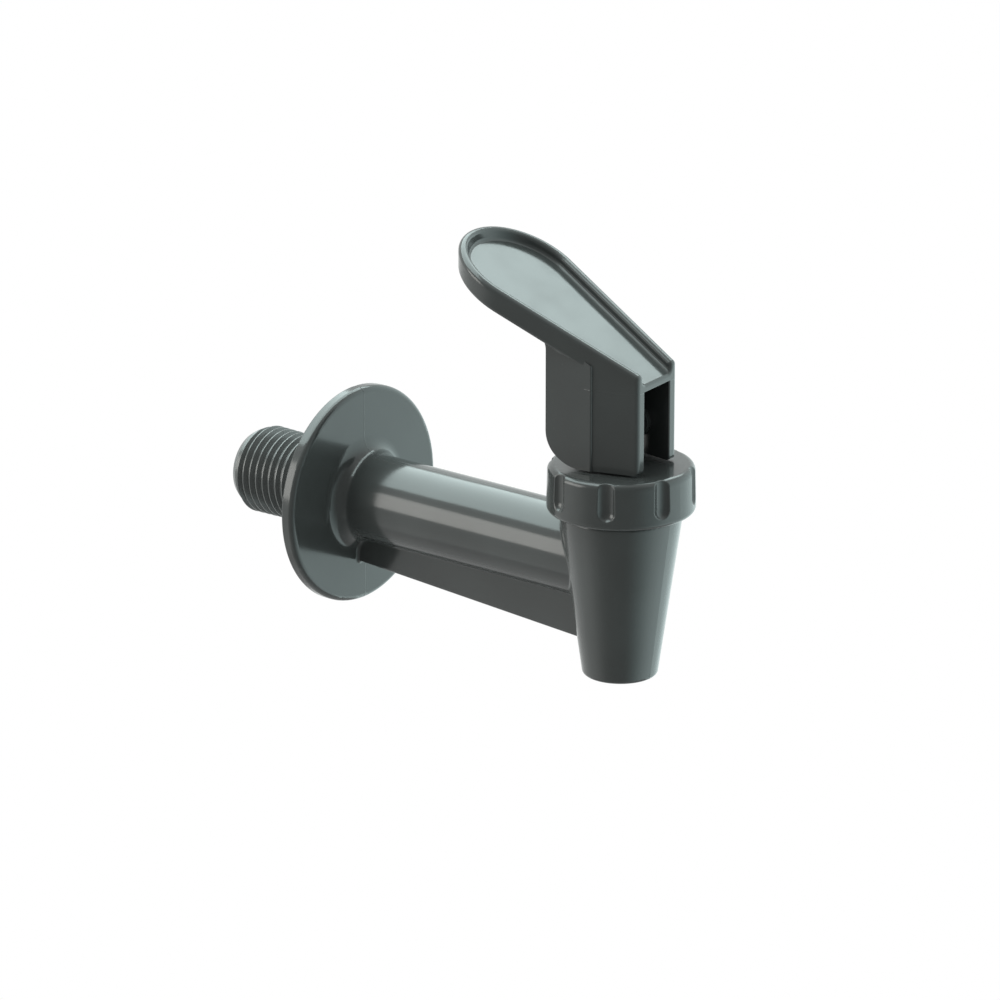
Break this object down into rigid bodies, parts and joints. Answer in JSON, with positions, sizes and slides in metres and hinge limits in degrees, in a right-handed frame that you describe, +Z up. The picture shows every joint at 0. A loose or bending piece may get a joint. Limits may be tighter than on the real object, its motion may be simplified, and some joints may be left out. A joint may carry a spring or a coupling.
{
  "type": "water dispenser spigot",
  "caption": "Self-closing lever tap for a drinks dispenser: threaded shank, round wall flange, ribbed tube, tapered outlet, fluted cap and dished paddle lever.",
  "frame": {"origin": "centre of the flange's rear sealing face, on the shank axis", "axes": "+X out of the dispenser wall along the tube towards the outlet, +Z up along the outlet barrel, +Y to the left of someone facing the wall's outside from behind the tap"},
  "size_m": [0.0961, 0.0392, 0.0748],
  "materials": {
    "grey_moulding": "glossy moulded plastic",
    "stainless_pin": "drawn stainless steel",
    "stem_plastic": "plain moulded plastic",
    "silicone": "soft translucent silicone",
    "washer_plastic": "plain moulded plastic",
    "spring_steel": "drawn stainless wire"
  },
  "bodies": {
    "tap": {"spigot_body": "grey_moulding", "bonnet": "grey_moulding", "return_spring": "spring_steel"},
    "valve": {"seat_cup": "silicone", "slip_washer": "washer_plastic"},
    "stem": {"valve_stem": "stem_plastic"},
    "lever": {"lever_handle": "grey_moulding", "cross_pin": "stainless_pin"}
  },
  "joints": [
    {"name": "stem_lift", "type": "slide", "parent": "tap", "child": "valve", "axis": [0, 0, 1], "range_m": [0, 0.0022], "deforming": ["return_spring"]},
    {"name": "lever_swivel", "type": "hinge", "parent": "valve", "child": "stem", "pos_m": [0.0603, 0, 0.0242], "axis": [0, 0, 1], "continuous": true},
    {"name": "lever_tilt", "type": "hinge", "parent": "stem", "child": "lever", "pos_m": [0.0603, 0, 0.0242], "axis": [0.1045, -0.9945, 0], "range_deg": [0, 35], "stiffness_Nm_per_rad": 0.02, "springref_deg": -103.13}
  ],
  "couplings": [
    {"joint": "lever_tilt", "follows": "stem_lift", "rad_per_m": 277.6}
  ]
}
